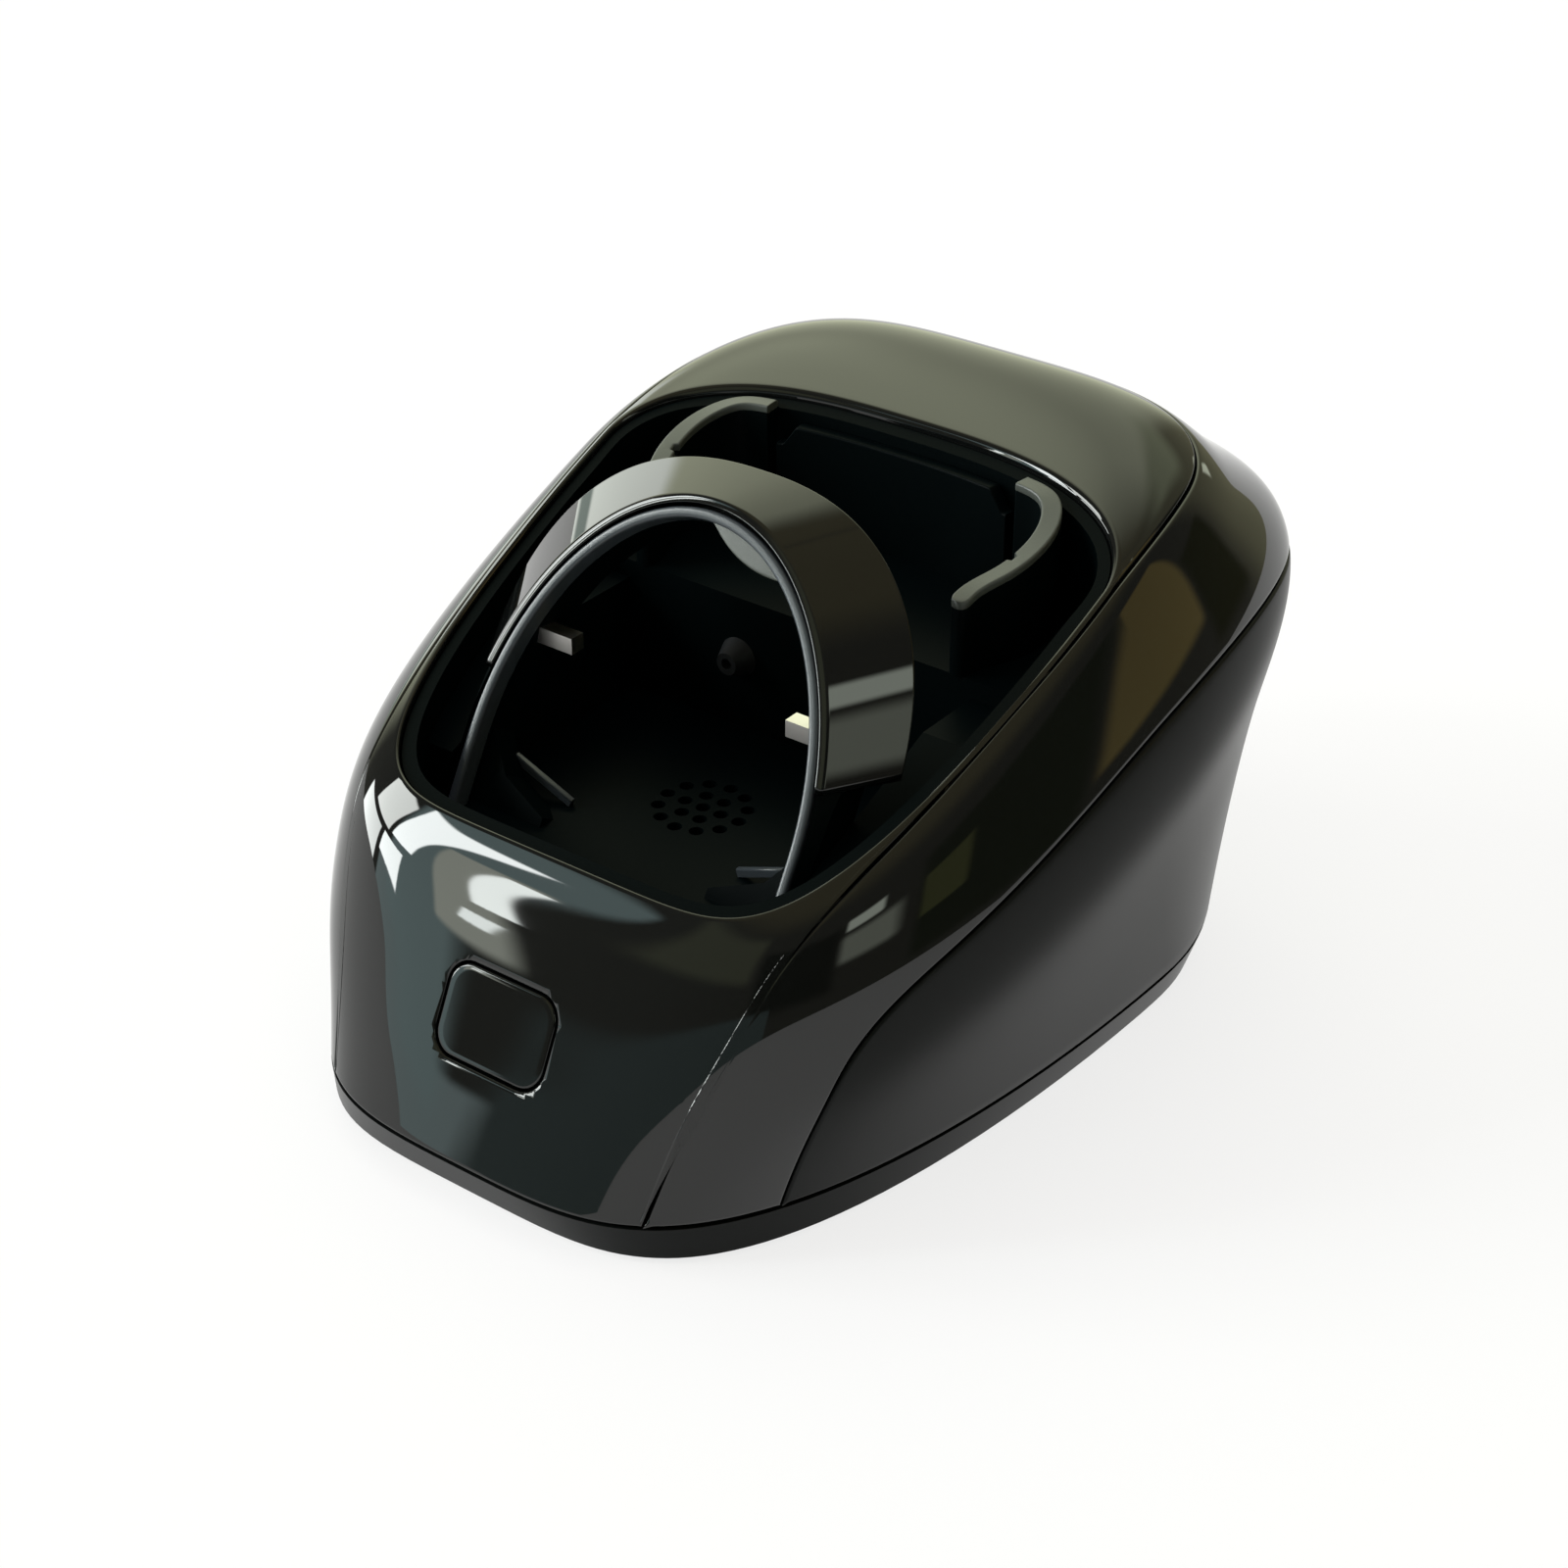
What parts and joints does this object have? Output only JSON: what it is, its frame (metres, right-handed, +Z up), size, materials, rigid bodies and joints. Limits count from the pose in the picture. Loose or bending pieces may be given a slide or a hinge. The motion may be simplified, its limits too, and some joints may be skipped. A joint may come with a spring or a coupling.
{
  "type": "shaver cleaning station",
  "caption": "Rounded table-top cleaning station with an arch collar for a rotary shaver head, a pronged back rest, a start button and a lift-off top over a fluid cartridge.",
  "frame": {"origin": "middle of the footprint, on the table under the feet", "axes": "+X to the right seen from the front, +Y to the back, +Z up"},
  "size_m": [0.1202, 0.1547, 0.0866],
  "materials": {
    "gloss_black": "polished",
    "satin_black": "satin",
    "dark_tub": "satin",
    "soft_grey": "satin",
    "satin_grey": "satin",
    "bright_metal": "satin",
    "motor_steel": "satin",
    "inner_plastic": "matte",
    "white_plastic": "matte",
    "cartridge_plastic": "satin",
    "clear_tube": "satin",
    "black_rubber": "matte",
    "cell_jacket": "satin",
    "board": "satin"
  },
  "bodies": {
    "base": {"base_tray": "satin_black", "foot_front_left": "black_rubber", "foot_front_right": "black_rubber", "foot_rear_left": "black_rubber", "foot_rear_right": "black_rubber"},
    "cartridge": {"cartridge_body": "cartridge_plastic", "cartridge_lid": "cartridge_plastic", "cartridge_seal": "black_rubber", "filter_basket": "white_plastic"},
    "top_unit": {"top_cover": "gloss_black", "side_band": "gloss_black", "lower_casing": "satin_black", "basin": "dark_tub", "drain_screen": "dark_tub", "collar_band": "gloss_black", "collar_frame": "dark_tub", "collar_lip": "soft_grey", "collar_stop": "soft_grey", "lug_left": "bright_metal", "lug_right": "bright_metal", "cradle": "dark_tub", "cradle_cap_left": "satin_grey", "cradle_cap_right": "satin_grey", "button_guide": "inner_plastic", "switch_board": "board", "tact_switch": "inner_plastic", "drive_housing": "inner_plastic", "suction_tube": "clear_tube", "delivery_tube": "clear_tube", "battery_door": "inner_plastic", "battery_cell_1": "cell_jacket", "battery_cell_2": "cell_jacket", "battery_cell_3": "cell_jacket", "battery_cell_4": "cell_jacket", "contacts_lower": "bright_metal", "contacts_upper": "bright_metal", "pump_cover": "white_plastic", "pump_housing": "white_plastic", "pump_motor": "motor_steel", "circuit_board": "board", "spray_nozzle": "inner_plastic", "screw_left": "bright_metal", "screw_right": "bright_metal"},
    "button": {"start_button": "gloss_black"},
    "rotor": {"impeller": "white_plastic"}
  },
  "joints": [
    {"name": "top_lift", "type": "slide", "parent": "base", "child": "top_unit", "axis": [0, 0, 1], "range_m": [0, 0.09]},
    {"name": "cartridge_lift", "type": "slide", "parent": "base", "child": "cartridge", "axis": [0, 0, 1], "range_m": [0, 0.05]},
    {"name": "start_button_press", "type": "slide", "parent": "top_unit", "child": "button", "axis": [0, 0.891, -0.454], "range_m": [0, 0.001], "stiffness_N_per_m": 400, "springref_m": -0.002},
    {"name": "impeller_spin", "type": "hinge", "parent": "top_unit", "child": "rotor", "pos_m": [-0.015, 0.04625, 0.02], "axis": [0, 0, 1], "continuous": true}
  ],
  "couplings": [
    {"joint": "cartridge_lift", "follows": "top_lift", "ratio": 0.55}
  ]
}
